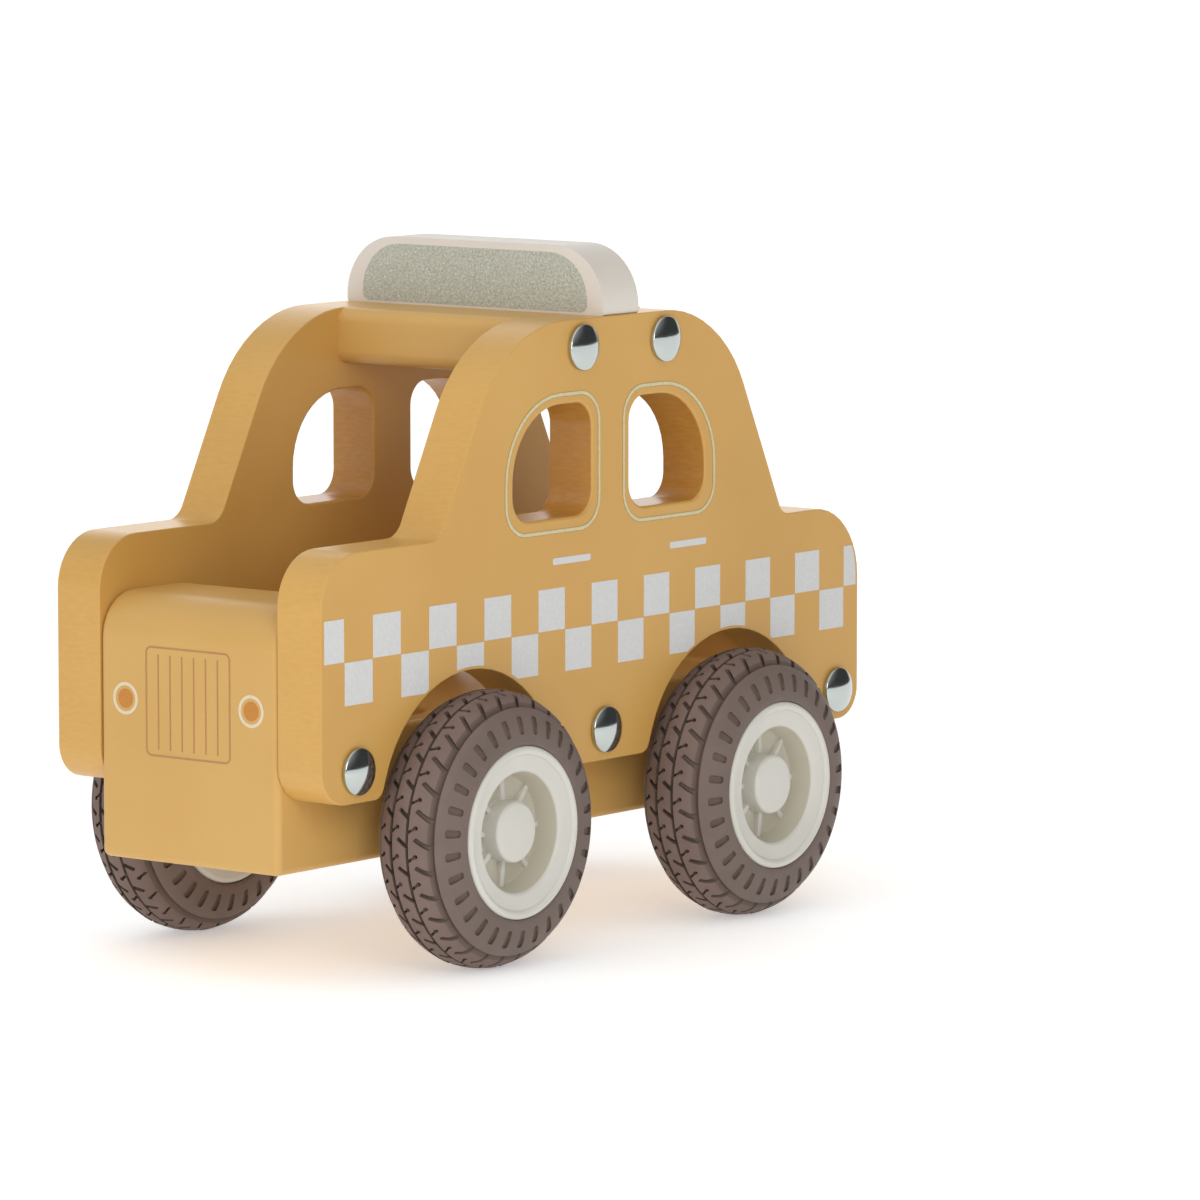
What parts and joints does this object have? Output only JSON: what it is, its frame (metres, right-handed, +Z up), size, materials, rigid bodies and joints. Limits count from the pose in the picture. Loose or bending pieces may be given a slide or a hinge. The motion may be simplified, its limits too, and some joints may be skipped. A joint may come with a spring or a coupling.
{
  "type": "toy taxi",
  "caption": "Push-along wooden toy taxi: profile side boards riveted to a stepped block, an open cabin with a round seat hole, a roof sign, and rubber-tyred wheels on turning axles.",
  "frame": {"origin": "on the ground under the middle of the car, half way along its side boards", "axes": "+X towards the bonnet, +Y towards the car's left side, +Z up"},
  "size_m": [0.1224, 0.0664, 0.0977],
  "materials": {
    "panel_wood": "smooth board under satin ochre paint, with white and beige printing",
    "block_wood": "solid block under satin ochre paint, with a printed grille and headlights",
    "sign_wood": "satin cream paint with a speckled grey-green patch on the front",
    "dowel_wood": "bare beech",
    "rivet_chrome": "polished",
    "hub_plastic": "moulded, slightly glossy cream",
    "tyre_rubber": "matt brown-grey rubber",
    "washer_plastic": "plain cream",
    "axle_steel": "drawn rod"
  },
  "bodies": {
    "car_body": {"side_panel_left": "panel_wood", "side_panel_right": "panel_wood", "chassis_block": "block_wood", "roof_bar": "block_wood", "roof_sign": "sign_wood", "sign_dowel_left": "dowel_wood", "sign_dowel_right": "dowel_wood", "rivet_left_front": "rivet_chrome", "rivet_left_middle": "rivet_chrome", "rivet_left_rear": "rivet_chrome", "rivet_left_roof_front": "rivet_chrome", "rivet_left_roof_rear": "rivet_chrome", "rivet_right_front": "rivet_chrome", "rivet_right_middle": "rivet_chrome", "rivet_right_rear": "rivet_chrome", "rivet_right_roof_front": "rivet_chrome", "rivet_right_roof_rear": "rivet_chrome"},
    "front_wheelset": {"front_axle": "axle_steel", "hub_front_left": "hub_plastic", "hub_front_right": "hub_plastic", "tyre_front_left": "tyre_rubber", "tyre_front_right": "tyre_rubber", "washer_front_left": "washer_plastic", "washer_front_right": "washer_plastic"},
    "rear_wheelset": {"rear_axle": "axle_steel", "hub_rear_left": "hub_plastic", "hub_rear_right": "hub_plastic", "tyre_rear_left": "tyre_rubber", "tyre_rear_right": "tyre_rubber", "washer_rear_left": "washer_plastic", "washer_rear_right": "washer_plastic"}
  },
  "joints": [
    {"name": "front_wheels_turn", "type": "hinge", "parent": "car_body", "child": "front_wheelset", "pos_m": [0.0291, 0, 0.0193], "axis": [0, 1, 0], "continuous": true},
    {"name": "rear_wheels_turn", "type": "hinge", "parent": "car_body", "child": "rear_wheelset", "pos_m": [-0.03, 0, 0.0193], "axis": [0, 1, 0], "continuous": true}
  ]
}
